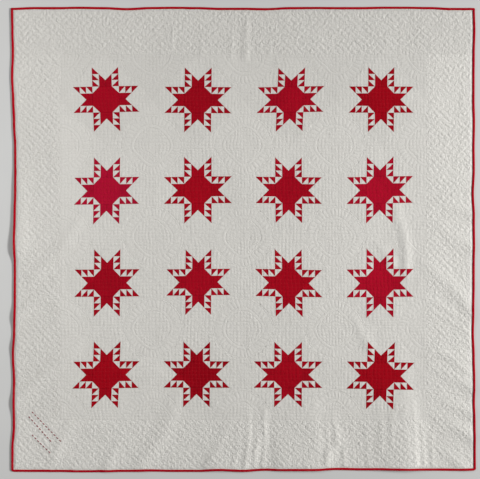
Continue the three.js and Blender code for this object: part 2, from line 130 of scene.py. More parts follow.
# Soft folds: start and end, sideways bend at the middle, lift at the start and at the end, width
# on the left of the run, and how many times wider the right of the run is
Fold = namedtuple("Fold", "x0 y0 x1 y1 bend lift0 lift1 width skew", defaults=(1,))
FOLDS = (
    Fold(742, -640, 775, -1100, 4, 3, 10, 50, 3),
    Fold(325, -800, 340, -1100, 6, 3, 7, 50, 2.4),
    Fold(8, -800, -3, -1100, 10, 2.5, 5.5, 36, 3),
    Fold(-95, -900, -128, -1100, -8, 1, 5, 58),
    Fold(172, -1100, 160, -880, 0, 5, 1.2, 34, 3),
    Fold(760, -950, 760, -1100, 0, 0.5, 3, 110, 1.3),
    Fold(425, -885, 405, -1020, 18, 1.1, 4.5, 27),
    Fold(90, -860, 50, -1010, 8, 1.4, 3, 24),
    Fold(-325, -770, -470, -1040, 21, 2.1, 4.5, 38),
    Fold(730, 110, 765, -125, 16, 2.1, 4.5, 24),
    Fold(875, -135, 1095, -360, 20, 2.1, 5.2, 35),
    Fold(955, 35, 1100, -45, 1, 1.4, 4.5, 38),
    Fold(965, 165, 1100, 115, 7, 1.4, 4.5, 35),
    Fold(930, -525, 1050, -615, 5, 1.4, 3, 24),
    Fold(950, -630, 1090, -705, 4, 1.4, 5.2, 30),
    Fold(965, -775, 1080, -820, 1, 1.4, 3.8, 27),
    Fold(935, -845, 1080, -935, 4, 1.4, 4.5, 30),
    Fold(960, -1020, 1050, -1100, 2, 1.4, 4.5, 27),
    Fold(540, -410, 590, -500, 2, 1.4, 3, 24),
    Fold(640, -30, 690, -100, 4, 1.4, 3.8, 24),
    Fold(-1065, 230, -1060, 5, -2, 2.8, 4, 40),
    Fold(-862, 5, -1085, -52, 0, 1.5, 6, 34, 2.5),
    Fold(-845, -40, -990, -170, -1, 1.4, 3.8, 35),
    Fold(-910, -225, -1090, -365, 0, 1.4, 4.5, 32),
    Fold(-805, -530, -1090, -775, -7, 1.4, 4.5, 32),
    Fold(-870, -390, -1080, -505, -2, 1.1, 3, 30),
    Fold(-760, 110, -835, 5, -3, 1.4, 2.2, 27),
    Fold(-580, -635, -450, -620, -2, 2.8, 1.5, 24),
    Fold(-505, -580, -380, -510, 8, 2.1, 1.5, 24),
    Fold(-825, -890, -890, -1025, -4, 1.4, 3, 27),
    Fold(-590, -955, -645, -1100, -7, 1.1, 3.8, 30),
)

# Small creases between them, on the quilt's face only
CREASES = (
    Fold(28, -845, 10, -1060, 4, 1, 2.2, 13),
    Fold(62, -840, 52, -1080, 5, 1.4, 2.2, 14),
    Fold(98, -830, 92, -1085, 6, 1.6, 2.6, 14),
    Fold(-25, -900, -48, -1075, 6, 0.8, 1.6, 13),
    Fold(-75, -880, -180, -1075, 10, 0.8, 1.8, 16),
    Fold(395, -850, 392, -1085, 3, 1.4, 2.2, 14),
    Fold(425, -850, 445, -960, 4, 1.2, 2, 13),
    Fold(470, -940, 475, -1075, 2, 0.8, 1.6, 12),
    Fold(572, -870, 590, -1080, 3, 0.6, 1.2, 14),
    Fold(642, -780, 648, -1000, 4, 0.5, 1, 15),
    Fold(695, -770, 700, -960, 3, 0.5, 0.9, 15),
    Fold(800, -780, 815, -1090, 4, 1.2, 2.4, 15),
    Fold(840, -880, 850, -1085, 3, 1, 2, 13),
    Fold(885, -930, 892, -1080, 2, 0.8, 1.6, 12),
    Fold(868, -536, 1050, -541, 3, 0.8, 1.4, 9),
    Fold(870, -552, 1060, -560, 2, 0.8, 1.4, 9),
    Fold(860, -285, 1060, -392, 8, 1, 1.8, 16),
    Fold(880, -330, 1070, -440, 6, 0.8, 1.6, 14),
    Fold(16, 1030, 16, 865, 2, 1.6, 1.8, 11),
    Fold(2, 985, 1, 865, 1, 1, 1.2, 10),
    Fold(-55, 945, -58, 870, 0, 1, 1.2, 10),
    Fold(-196, 935, -198, 870, 0, 0.8, 1, 10),
    Fold(-332, 990, -334, 925, 0, 0.8, 1, 10),
    Fold(126, 935, 124, 885, 0, 0.8, 1, 10),
)

# How each star was set by hand, in rows from the top left: shift and turn (degrees) of its
# patches, their stretch both ways and slant, and its dye, from scarlet (0) to crimson (1),
# with its depth
StarSet = namedtuple("StarSet", "shift_x shift_y turn wide tall slant crimson depth")
STAR_SETS = (
    StarSet(-1.4, 3.7, 1.6, 1.034, 1.016, -0.007, 0.3, 0.99),
    StarSet(1.2, 0.5, -0.5, 1.052, 1.023, 0.002, 0.1, 0.94),
    StarSet(6.6, 2.7, -0.6, 1.049, 1.007, 0.032, 0.3, 1.01),
    StarSet(3, 2.4, -0.3, 1.016, 1.025, 0.003, 0, 0.95),
    StarSet(1.8, 3.3, 0, 1.024, 1.055, 0.015, 1, 1.12),
    StarSet(1, 6.8, 0.4, 1.071, 1.05, 0.006, 0.1, 0.98),
    StarSet(-1.8, 5.9, -0.1, 1.043, 1.034, -0.009, 0.2, 1.04),
    StarSet(-3.3, 7.1, 0.2, 1.043, 1.049, 0.017, 0.6, 1.1),
    StarSet(3.6, -0.5, 0, 1.024, 1.064, 0.009, 0.2, 1),
    StarSet(3.2, 3.4, 0.1, 1.009, 1.032, 0.008, 0.2, 1),
    StarSet(-1.7, -0.8, -0.1, 1.055, 1.065, -0.019, 0.1, 1),
    StarSet(-2.3, -1, 0.3, 1.057, 1.092, 0.007, 0.5, 1.1),
    StarSet(-1.6, -2.5, -0.9, 1.045, 1.053, 0.027, 0, 0.98),
    StarSet(-5, -0.7, -0.3, 1.039, 1.034, 0.001, 0, 0.88),
    StarSet(-4.7, -1.5, -0.2, 1.082, 1.032, 0.001, 0.1, 0.97),
    StarSet(-0.3, -6.3, -1.4, 1.065, 1.063, 0.005, 0, 0.92),
)


# Random hills, such as crinkles: their height, how far apart they are, and the seed
Hills = namedtuple("Hills", "height size seed")
FINE_CRINKLES = Hills(1.15, 8.0, 11)
MEDIUM_CRINKLES = Hills(0.35, 18.0, 12)
BROAD_WAVES = Hills(1.6, 110.0, 13)
PUFF_FULLNESS = Hills(0.55, 26.0, 15)
CRINKLE_BASE = 1.5
PUFF_BASE = 0.75

# How strong the crinkles are in the field and, beyond that, in the border, and how far the cloth
# is raised in the top left of the field
FIELD_CRINKLES = 0.55
BORDER_CRINKLES = 0.5
LEAST_WORKED = 0.55


# Shape in which the cloth lies. A flat place is u and v, before the edges draw in.

def smoothstep(x, low, high):
    t = np.clip((x - low) / (high - low), 0, 1)
    return t * t * (3 - 2 * t)


def fold_lift(u, v, folds=FOLDS):
    x = np.clip(u, RIM_INSET - HALF_WIDTH, HALF_WIDTH - RIM_INSET)
    y = np.clip(v, RIM_INSET - HALF_LENGTH, HALF_LENGTH - RIM_INSET)
    lift = np.zeros_like(x)
    for fold in folds:
        run_x = fold.x1 - fold.x0
        run_y = fold.y1 - fold.y0
        length = math.hypot(run_x, run_y)
        along = ((x - fold.x0) * run_x + (y - fold.y0) * run_y) / length
        t = np.clip(along / length, 0, 1)
        sideways = ((y - fold.y0) * run_x - (x - fold.x0) * run_y) / length
        off = sideways - fold.bend * 4 * t * (1 - t)
        across = off / np.where(off > 0, fold.width, fold.width * fold.skew)
        beyond = (along - t * length) / (2 * fold.width)
        crest = fold.lift0 + (fold.lift1 - fold.lift0) * t
        lift += crest * np.exp(-across**2 - beyond**2)
    return lift


def drawn_in(side, at):
    table = np.array(EDGE_DRAW[side])
    step = np.clip(at, 0, 1) * (len(table) - 1)
    row = np.minimum(np.floor(step).astype(int), len(table) - 2)
    return table[row] + (table[row + 1] - table[row]) * smoothstep(step - row, 0, 1)


def near_edge(inset):
    return 1 - smoothstep(inset, RIM_INSET, DRAW_DEPTH)


def rounded_corner(u, v):
    top = np.where(u > 0, CORNER_RADIUS["top_right"], CORNER_RADIUS["top_left"])
    bottom = np.where(u > 0, CORNER_RADIUS["bottom_right"], CORNER_RADIUS["bottom_left"])
    radius = np.where(v > 0, top, bottom)
    out_x = np.maximum(0, np.abs(u) - (HALF_WIDTH - radius))
    out_y = np.maximum(0, np.abs(v) - (HALF_LENGTH - radius))
    both = (out_x > 0) & (out_y > 0)
    diagonal = np.where(both, np.hypot(out_x, out_y), 1)
    shrink = np.where(both, np.maximum(out_x, out_y) / diagonal, 1)
    x = np.sign(u) * (np.abs(u) - out_x * (1 - shrink))
    y = np.sign(v) * (np.abs(v) - out_y * (1 - shrink))
    return x, y


def lie(u, v):
    """Where a flat place of the cloth comes to lie, seen from above."""
    x, y = rounded_corner(u, v)
    across = (u + HALF_WIDTH) / QUILT_WIDTH
    down = (HALF_LENGTH - v) / QUILT_LENGTH
    x = x + drawn_in("left", down) * near_edge(u + HALF_WIDTH)
    x = x - drawn_in("right", down) * near_edge(HALF_WIDTH - u)
    y = y + drawn_in("bottom", across) * near_edge(v + HALF_LENGTH)
    y = y - drawn_in("top", across) * near_edge(HALF_LENGTH - v)
    return x, y


def uneven(u, v, size, seed, crisp=False):
    """Smooth random height between -1 and 1, with hills about one size apart. Crisp hills stand
    up from the ones around them, without broader swells."""
    reach = 1.3 * HALF_LENGTH
    count = int(2 * reach / size) + 3
    hills = np.random.default_rng(seed).uniform(-1, 1, (count, count))
    if crisp:
        steps = (-1, 0, 1)
        hills = hills - sum(np.roll(hills, (i, j), (0, 1)) for i in steps for j in steps) / 9
    across = (np.asarray(u) + reach) / size
    up = (np.asarray(v) + reach) / size
    i = np.clip(np.floor(across).astype(int), 0, count - 2)
    j = np.clip(np.floor(up).astype(int), 0, count - 2)
    s = smoothstep(across - i, 0, 1)
    t = smoothstep(up - j, 0, 1)
    low = hills[i, j] * (1 - s) + hills[i + 1, j] * s
    high = hills[i, j + 1] * (1 - s) + hills[i + 1, j + 1] * s
    return low * (1 - t) + high * t


def from_rim(u, v):
    """0 where the cloth is pressed flat inside the binding, rising to 1 beside it."""
    inset = np.minimum(HALF_WIDTH - np.abs(u), HALF_LENGTH - np.abs(v))
    return smoothstep(inset, BINDING_WIDTH - 1, 2 * BINDING_WIDTH)


def rippled(u, v, hills):
    """Crinkles drawn out along the cloth's length, or across it near its left and right."""
    lengthwise = uneven(u, 0.6 * v, hills.size, hills.seed, crisp=True)
    crosswise = uneven(0.7 * u, v, hills.size, hills.seed + 40, crisp=True)
    beside = smoothstep(np.abs(u), HALF_FIELD - 60, HALF_FIELD + 40)
    return hills.height * (lengthwise + (crosswise - lengthwise) * beside)


def border_share(u, v):
    """0 in the field, rising to 1 in the border."""
    past_field = np.maximum(np.abs(u), np.abs(v - FIELD_SHIFT)) - HALF_FIELD
    return smoothstep(past_field, -20, 40)


def worked(u, v):
    """How far washing and use have raised the cloth: least in the field's top left."""
    least = LEAST_WORKED + (1 - LEAST_WORKED) * border_share(u, v)
    return least + (1 - least) * smoothstep(u - v, -1500, 0)


def washed(u, v):
    """Height of the small crinkles and soft waves that washing leaves, dying out at the rim."""
    crinkles = rippled(u, v, FINE_CRINKLES) + rippled(u, v, MEDIUM_CRINKLES) + CRINKLE_BASE
    share = FIELD_CRINKLES + BORDER_CRINKLES * border_share(u, v)
    waves = BROAD_WAVES.height * uneven(u, 0.7 * v, BROAD_WAVES.size, BROAD_WAVES.seed)
    height = crinkles * share * worked(u, v) + waves + BROAD_WAVES.height
    return height / 2 * from_rim(u, v)


# Quilting. Each pattern gives two phases, whose whole numbers are stitched lines, and the puff.

def by_hand(places, seed):
    """Places moved a little, so that the lines through them wander as hand stitches do."""
    x, y = places[:, 0], places[:, 1]
    shift_x = LINE_WANDER * uneven(x, y, WANDER_SIZE, seed)
    shift_y = LINE_WANDER * uneven(x, y, WANDER_SIZE, seed + 1)
    return np.column_stack([x + shift_x, y + shift_y])


def square_grid(places, patch):
    places = by_hand(places, 31)
    puff = np.full(len(places), GRID_PUFF)
    return places[:, 0] / GRID_PITCH, places[:, 1] / GRID_PITCH, puff


def diamond_grid(places, patch):
    pitch = BORDER_PITCH * math.sqrt(2)
    places = by_hand(places, 33)
    u = places[:, 0]
    v = places[:, 1] - FIELD_SHIFT
    return (u + v) / pitch, (u - v) / pitch, np.full(len(places), BORDER_PUFF)


def lobe_edge(lobe):
    swell = np.abs(np.sin(np.pi * lobe)) ** 0.5
    return WREATH_LOBE_FOOT + (WREATH_LOBE_TIP - WREATH_LOBE_FOOT) * swell


def lobe_swirl(radius):
    out = np.maximum(0, radius - WREATH_STEM) / (WREATH_LOBE_TIP - WREATH_STEM)
    return WREATH_SWIRL * out**2


LATTICE_PATCH = 0
RING_PATCH = 1


def wreath_pattern(places, patch):
    along, across, puff = square_grid(places, patch)
    x, y = places[:, 0], places[:, 1]
    radius = np.hypot(x, y)
    swirl = lobe_swirl(radius)
    turned_x = x * np.cos(swirl) + y * np.sin(swirl)
    turned_y = y * np.cos(swirl) - x * np.sin(swirl)
    lobe = np.arctan2(turned_y, turned_x) * WREATH_LOBES / (2 * np.pi)
    edge = lobe_edge(lobe)
    stem = (radius - WREATH_INNER) / (WREATH_STEM - WREATH_INNER)
    feather = 1 + (radius - WREATH_STEM) / (edge - WREATH_STEM)
    outside = 2 + (radius - edge) / (WREATH_RIM - edge)
    ring = np.where(radius < WREATH_STEM, stem, np.where(radius < edge, feather, outside))
    in_feather = (radius > WREATH_STEM) & (radius < edge)
    on_ring = patch == RING_PATCH
    along = np.where(on_ring, np.where(in_feather, lobe, 0.5), along)
    across = np.where(on_ring, ring, across)
    puff = np.where(on_ring, np.where(in_feather, FEATHER_PUFF, STEM_PUFF), puff)
    return along, across, puff


def quilted_height(u, v, phases, inside):
    along, across, puff = phases
    pillow = np.abs(np.sin(np.pi * along) * np.sin(np.pi * across)) ** PUFF_ROUNDNESS
    spread = PUFF_FULLNESS.height * uneven(u, v, PUFF_FULLNESS.size, PUFF_FULLNESS.seed)
    pillow = pillow * ((PUFF_BASE + spread) * worked(u, v)) * from_rim(u, v)
    from_seam = 1 - SEAM_SHARE * np.exp(-((np.maximum(inside, 0) / SEAM_REACH) ** 2))
    turned = np.maximum(np.minimum(inside, 0) * TURN_SLOPE, -TURN_DEPTH)
    lift = fold_lift(u, v) + fold_lift(u, v, CREASES) * from_rim(u, v)
    return STITCHED_HEIGHT + lift + washed(u, v) + puff * pillow * from_seam + turned


# Cutting: flat patches with a fine lattice of cells, cut along their seams

def loose_cloth(places, cells):
    """Cloth that can still be cut."""
    mesh = bpy.data.meshes.new("cloth")
    mesh.from_pydata(places, [], cells)
    cut = bmesh.new()
    cut.from_mesh(mesh)
    bpy.data.meshes.remove(mesh)
    return cut


def lattice(xs, ys):
    places = [(x, y, 0) for x in xs for y in ys]
    rows = len(ys)
    starts = [i * rows + j for i in range(len(xs) - 1) for j in range(rows - 1)]
    return loose_cloth(places, [(k, k + rows, k + rows + 1, k + 1) for k in starts])


def even_steps(low, high, step):
    count = max(1, round((high - low) / step))
    return [low + (high - low) * i / count for i in range(count + 1)]


def lines_across(lines, low, high):
    return [low, *[x for x in lines if low + 0.01 < x < high - 0.01], high]


def sides_of(outline):
    """Start and outward direction of each side of a convex outline, given anticlockwise."""
    sides = []
    for start, end in zip(outline, [*outline[1:], outline[0]]):
        run = Vector((end[0] - start[0], end[1] - start[1], 0)).normalized()
        sides.append((Vector((*start, 0)), Vector((run.y, -run.x, 0))))
    return sides


def trim(cut, outline):
    """Cuts cloth to an outline, with a line of corners on each seam and the rest turned under."""
    for start, outward in sides_of(outline):
        for reach, clear in ((TURN_UNDER, True), (0, False)):
            everything = [*cut.verts, *cut.edges, *cut.faces]
            bmesh.ops.bisect_plane(
                cut,
                geom=everything,
                dist=0.001,
                plane_co=start + outward * reach,
                plane_no=outward,
                clear_outer=clear,
            )


def seam_distance(places, outline):
    """How far each place lies inside an outline; negative outside it."""
    nearest = np.full(len(places), 1e6)
    for start, outward in sides_of(outline):
        past = (places[:, 0] - start.x) * outward.x + (places[:, 1] - start.y) * outward.y
        nearest = np.minimum(nearest, -past)
    return nearest


class Cloth:
    """Flat cloth cut for one piece: corner places, faces, distance to the seam and patch number."""

    def __init__(self):
        self.places = np.zeros((0, 2))
        self.inside = np.zeros(0)
        self.patch = np.zeros(0, int)
        self.quads = []
        self.triangles = []

    def add(self, cut, patch, distance):
        bmesh.ops.triangulate(cut, faces=[face for face in cut.faces if len(face.verts) > 4])
        cut.verts.index_update()
        first = len(self.places)
        places = np.array([corner.co[:2] for corner in cut.verts])
        for face in cut.faces:
            corners = [first + corner.index for corner in face.verts]
            (self.quads if len(corners) == 4 else self.triangles).append(corners)
        cut.free()
        self.places = np.vstack([self.places, places])
        self.inside = np.append(self.inside, distance(places))
        self.patch = np.append(self.patch, np.full(len(places), patch))

    def add_patch(self, outline, patch, lines):
        low_x, high_x = min(x for x, y in outline), max(x for x, y in outline)
        low_y, high_y = min(y for x, y in outline), max(y for x, y in outline)
        spare = 2 * TURN_UNDER
        xs = lines_across(lines, low_x - spare, high_x + spare)
        ys = lines_across(lines, low_y - spare, high_y + spare)
        cut = lattice(xs, ys)
        trim(cut, outline)
        self.add(cut, patch, lambda places: seam_distance(places, outline))


def signed(steps):
    return sorted({round(sign * step, 4) for step in steps for sign in (1, -1)})


def star_lines():
    marks = [0, FEATHER_INNER, FEATHER_OUTER, NOTCH_REACH, POINT_REACH, TIP_REACH, HALF_BLOCK + 6]
    steps = []
    for low, high in zip(marks, marks[1:]):
        steps += even_steps(low, high, CELL)
    return signed(steps)


def quarter_turns(outline):
    turned = [outline]
    for _ in range(3):
        turned.append([(-y, x) for x, y in turned[-1]])
    return turned


def eight_turns(outline):
    mirrored = [(x, -y) for x, y in reversed(outline)]
    return quarter_turns(outline) + quarter_turns(mirrored)


def star_red_patches():
    octagon = [
        (FEATHER_OUTER, -FEATHER_INNER), (FEATHER_OUTER, FEATHER_INNER),
        (FEATHER_INNER, FEATHER_OUTER), (-FEATHER_INNER, FEATHER_OUTER),
        (-FEATHER_OUTER, FEATHER_INNER), (-FEATHER_OUTER, -FEATHER_INNER),
        (-FEATHER_INNER, -FEATHER_OUTER), (FEATHER_INNER, -FEATHER_OUTER),
    ]
    point = [
        (FEATHER_OUTER, 0), (NOTCH_REACH, 0),
        (POINT_REACH, FEATHER_INNER), (FEATHER_OUTER, FEATHER_INNER),
    ]
    patches = [octagon] + eight_turns(point)
    reaches = (FEATHER_OUTER, NOTCH_REACH, POINT_REACH, TIP_REACH)
    for inner, outer in zip(reaches, reaches[1:]):
        tooth = [(inner, FEATHER_INNER), (outer, FEATHER_OUTER), (inner, FEATHER_OUTER)]
        patches += eight_turns(tooth)
    return patches


def star_white_patches():
    patches = []
    for inner, outer in ((FEATHER_OUTER, NOTCH_REACH), (NOTCH_REACH, POINT_REACH)):
        gap = [(inner, FEATHER_INNER), (outer, FEATHER_INNER), (outer, FEATHER_OUTER)]
        patches += eight_turns(gap)
    far = HALF_BLOCK - FEATHER_OUTER
    inner_triangle = [
        (FEATHER_OUTER, FEATHER_INNER), (FEATHER_OUTER, FEATHER_OUTER),
        (FEATHER_INNER, FEATHER_OUTER),
    ]
    side_triangle = [(FEATHER_OUTER, FEATHER_OUTER), (far, FEATHER_OUTER), (FEATHER_OUTER, far)]
    corner_square = [
        (NOTCH_REACH, 0), (TIP_REACH, -FEATHER_OUTER), (far, -FEATHER_OUTER),
        (HALF_BLOCK, 0), (far, FEATHER_OUTER), (TIP_REACH, FEATHER_OUTER),
    ]
    for outline in (inner_triangle, side_triangle, corner_square):
        patches += quarter_turns(outline)
    return patches


def cut_star(outlines):
    cloth = Cloth()
    lines = star_lines()
    for number, outline in enumerate(outlines):
        cloth.add_patch(outline, number, lines)
    return cloth


def block_outline():
    return [(HALF_BLOCK, 0), (0, HALF_BLOCK), (-HALF_BLOCK, 0), (0, -HALF_BLOCK)]


def field_outline(centre_u, centre_v):
    """The field's edge as seen from a block's centre."""
    left, right = -HALF_FIELD - centre_u, HALF_FIELD - centre_u
    low, high = FIELD_SHIFT - HALF_FIELD - centre_v, FIELD_SHIFT + HALF_FIELD - centre_v
    return [(left, low), (right, low), (right, high), (left, high)]


def wreath_lattice():
    """The squared centre and the ground outside the wreath, without what the ring covers."""
    lines = signed([i * GRID_PITCH / 4 for i in range(int(4 * HALF_BLOCK / GRID_PITCH) + 3)])
    cut = lattice(lines, lines)
    inner, outer = WREATH_INNER + 3, WREATH_RIM - 3
    hidden = [
        face for face in cut.faces
        if all(inner < math.hypot(corner.co.x, corner.co.y) < outer for corner in face.verts)
    ]
    bmesh.ops.delete(cut, geom=hidden, context="FACES")
    for corner in cut.verts:
        radius = math.hypot(corner.co.x, corner.co.y)
        for ring in (WREATH_INNER, WREATH_RIM):
            if abs(radius - ring) < 0.45 * GRID_PITCH / 4:
                corner.co *= ring / radius
    trim(cut, block_outline())
    return cut


def wreath_ring():
    """The stem and its feathers, in cells that follow them."""
    stem = even_steps(WREATH_INNER, WREATH_STEM, CELL)
    feather = even_steps(0, 1, CELL / (WREATH_LOBE_TIP - WREATH_STEM))
    places = []
    for step in range(WREATH_LOBES * STEPS_PER_LOBE):
        lobe = step / STEPS_PER_LOBE
        edge = float(lobe_edge(lobe))
        radii = [WREATH_INNER - TURN_UNDER, *stem]
        radii += [WREATH_STEM + t * (edge - WREATH_STEM) for t in feather[1:]]
        radii += [(edge + WREATH_RIM) / 2, WREATH_RIM, WREATH_RIM + TURN_UNDER]
        for radius in radii:
            angle = 2 * math.pi * lobe / WREATH_LOBES + float(lobe_swirl(radius))
            places.append((radius * math.cos(angle), radius * math.sin(angle), 0))
    rows = len(radii)
    turns = len(places) // rows
    cells = []
    for turn in range(turns):
        here, there = turn * rows, (turn + 1) % turns * rows
        cells += [(here + k, here + k + 1, there + k + 1, there + k) for k in range(rows - 1)]
    return loose_cloth(places, cells)


def cut_wreath_block(centre_u, centre_v):
    field = field_outline(centre_u, centre_v)
    block = block_outline()

    def meeting(ring):
        """Where ring and lattice meet the cloth only dips out of sight: there is no seam."""
        return np.where(ring < -0.01, ring, 50.0)

    def lattice_distance(places):
        radius = np.hypot(places[:, 0], places[:, 1])
        middle = (WREATH_INNER + WREATH_RIM) / 2
        ring = np.where(radius < middle, WREATH_INNER - radius, radius - WREATH_RIM)
        seams = np.minimum(seam_distance(places, block), seam_distance(places, field))
        return np.minimum(seams, meeting(ring))

    def ring_distance(places):
        radius = np.hypot(places[:, 0], places[:, 1])
        ring = np.minimum(radius - WREATH_INNER, WREATH_RIM - radius)
        return np.minimum(meeting(ring), seam_distance(places, field))

    cloth = Cloth()
    for cut, patch, distance in (
        (wreath_lattice(), LATTICE_PATCH, lattice_distance),
        (wreath_ring(), RING_PATCH, ring_distance),
    ):
        if max(abs(centre_u), abs(centre_v - FIELD_SHIFT)) > HALF_FIELD - 1:
            trim(cut, field)
        cloth.add(cut, patch, distance)
    return cloth


# Making meshes

def face_triangles(cloth, heights_at):
    """Splits each quad along the diagonal that lies nearer to the cloth."""
    quads = np.array(cloth.quads, int).reshape(-1, 4)
    centre = cloth.places[quads].mean(axis=1)
    inside = cloth.inside[quads].mean(axis=1)
    patch = cloth.patch[quads[:, 0]]
    wanted = heights_at(centre, inside, patch)
    heights = heights_at(cloth.places, cloth.inside, cloth.patch)
    first = np.abs(heights[quads[:, [0, 2]]].mean(axis=1) - wanted)
    second = np.abs(heights[quads[:, [1, 3]]].mean(axis=1) - wanted)
    turned = np.where((first <= second)[:, None], quads, np.roll(quads, -1, axis=1))
    seam_triangles = np.array(cloth.triangles, int).reshape(-1, 3)
    return np.vstack([seam_triangles, turned[:, [0, 1, 2]], turned[:, [0, 2, 3]]]), heights


def mesh_object(name, corners, faces, material):
    mesh = bpy.data.meshes.new(name)
    mesh.from_pydata(np.asarray(corners) * MM, [], faces)
    mesh.shade_smooth()
    mesh.materials.append(material)
    piece = bpy.data.objects.new(name, mesh)
    bpy.context.scene.collection.objects.link(piece)
    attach(piece, "root")
    return piece


def corner_values(piece, name, values):
    """Stores three numbers for each corner of each face, for the materials to read."""
    layer = piece.data.attributes.new(name, "FLOAT_VECTOR", "CORNER")
    layer.data.foreach_set("vector", np.ascontiguousarray(values, np.float32).ravel())


def crease_seams(mesh, inside):
    """Shades the face and the turned-under edge apart along each seam."""
    ends = np.zeros(2 * len(mesh.edges), int)
    mesh.edges.foreach_get("vertices", ends)
    on_seam = np.abs(inside[ends.reshape(-1, 2)]).max(axis=1) < 0.02
    mesh.edges.foreach_set("use_edge_sharp", on_seam)


def quilted_piece(name, cloth, to_quilt, pattern, dye, material):
    """One piece of the quilt's face. dye gives each patch its depth and its crimson."""

    def heights_at(places, inside, patch):
        u, v = to_quilt(places)
        return quilted_height(u, v, pattern(places, patch), inside)

    triangles, heights = face_triangles(cloth, heights_at)
    u, v = to_quilt(cloth.places)
    x, y = lie(u, v)
    piece = mesh_object(name, np.column_stack([x, y, heights]), triangles, material)
    crease_seams(piece.data, cloth.inside)
    corners = triangles.ravel()
    patch = np.repeat(cloth.patch[triangles[:, 0]], 3)
    places = cloth.places[corners]
    middle = cloth.places[triangles].mean(axis=1)
    inward = places + (np.repeat(middle, 3, axis=0) - places) * 0.02
    along, across, puff = pattern(inward, patch)
    corner_values(piece, "stitching", np.column_stack([along, across, puff > 0]))
    depth, crimson = dye(patch)
    corner_values(piece, "dye", np.column_stack([depth, crimson, cloth.inside[corners]]))
    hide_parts("quilt_body")
    return piece


# Pieces of the quilt's face

def block_centres(per_side):
    """Block centres in rows from the top left."""
    first = (1 - per_side) * BLOCK_DIAGONAL / 2
    steps = [first + i * BLOCK_DIAGONAL for i in range(per_side)]
    return [(u, FIELD_SHIFT - v) for v in steps for u in steps]


def hand_set(u, v):
    """Each star's own shift and turn, which die out half way to the next star."""
    moved_u, moved_v = u.copy(), v.copy()
    for (centre_u, centre_v), star in zip(block_centres(STARS_PER_SIDE), STAR_SETS):
        x, y = u - centre_u, v - centre_v
        turn = math.radians(star.turn)
        hand = 1 - smoothstep(np.maximum(np.abs(x), np.abs(y)), TIP_REACH, HALF_BLOCK)
        moved_u += hand * (star.shift_x + (star.wide - 1) * x + (star.slant - turn) * y)
        moved_v += hand * (star.shift_y + (star.tall - 1) * y + (star.slant + turn) * x)
    return moved_u, moved_v


def block_places(centre):
    return lambda places: hand_set(centre[0] + places[:, 0], centre[1] + places[:, 1])


# Painted shade: how much darker the topmost white blocks are, and how far single patches differ
TOP_PAINTED_SHADE = 0.055
WHITE_SPREAD = 0.012
RED_SPREAD = 0.07
MOST_PATCHES = 64


def painted_top_shade(centre_v):
    """How light a block's white is: the top rows are painted a little darker, as painted shade."""
    return 1 - TOP_PAINTED_SHADE * float(smoothstep(centre_v, 450, 870))


def patch_dye_and_painted_light(seed, depth, spread, crimson):
    """Each patch cut from slightly lighter or darker cloth; white depths also hold painted light and
    shade.
    """
    depths = depth * (1 + spread * np.random.default_rng(seed).uniform(-1, 1, MOST_PATCHES))
    return lambda patch: (depths[patch], np.full(len(patch), crimson))


def make_stars(white, red):
    ground = cut_star(star_white_patches())
    patches = cut_star(star_red_patches())
    pieces = []
    for number, (centre, star) in enumerate(zip(block_centres(STARS_PER_SIDE), STAR_SETS), 1):
        to_quilt = block_places(centre)
        # The white ground's depth carries painted shade, darker in the top rows.
        white_dye_and_painted_shade = patch_dye_and_painted_light(100 + number, painted_top_shade(centre[1]), WHITE_SPREAD, 0)
        red_dye = patch_dye_and_painted_light(200 + number, star.depth, RED_SPREAD, star.crimson)
        for part, cloth, dye, cotton, slot in (
            ("ground", ground, white_dye_and_painted_shade, white, "white_cotton"),
            ("patches", patches, red_dye, red, "red_cotton"),
        ):
            name = f"star_{number:02d}_{part}"
            pieces.append(quilted_piece(name, cloth, to_quilt, square_grid, dye, cotton))
    return pieces


def make_wreath_blocks(white):
    """Whole blocks inside the field, half blocks along its edge and quarters in its corners."""
    pieces = []
    for number, centre in enumerate(block_centres(STARS_PER_SIDE + 1), 1):
        cloth = cut_wreath_block(*centre)
        edges = sum(abs(offset) > HALF_FIELD - 1 for offset in (centre[0], centre[1] - FIELD_SHIFT))
        form = ("plain_block", "setting_triangle", "corner_triangle")[edges]
        to_quilt = block_places(centre)
        # The white's depth carries painted shade, darker in the top rows.
        dye = patch_dye_and_painted_light(300 + number, painted_top_shade(centre[1]) + WHITE_SPREAD * math.sin(number * 2.4), 0, 0)
        name = f"{form}_{number:02d}"
        piece = quilted_piece(name, cloth, to_quilt, wreath_pattern, dye, white)
        pieces.append(piece)
    return pieces


# Painted light and shade: how light each border strip is beside the field
BORDER_PAINTED_LIGHT_AND_SHADE = {"top": 0.975, "bottom": 1.05, "left": 0.99, "right": 1.045}


def border_outlines():
    out_u, out_v = HALF_WIDTH - TUCK_INSET, HALF_LENGTH - TUCK_INSET
    low, high = FIELD_SHIFT - HALF_FIELD, FIELD_SHIFT + HALF_FIELD
    return {
        "top": [(-out_u, high), (out_u, high), (out_u, out_v), (-out_u, out_v)],
        "bottom": [(-out_u, -out_v), (out_u, -out_v), (out_u, low), (-out_u, low)],
        "left": [(-out_u, low), (-HALF_FIELD, low), (-HALF_FIELD, high), (-out_u, high)],
        "right": [(HALF_FIELD, low), (out_u, low), (out_u, high), (HALF_FIELD, high)],
    }


def crossings(low, high, cell, spare):
    """Even lines about 0 that reach a little past both ends."""
    first = math.floor((low - spare) / cell)
    last = math.ceil((high + spare) / cell)
    return [i * cell for i in range(first, last + 1)]


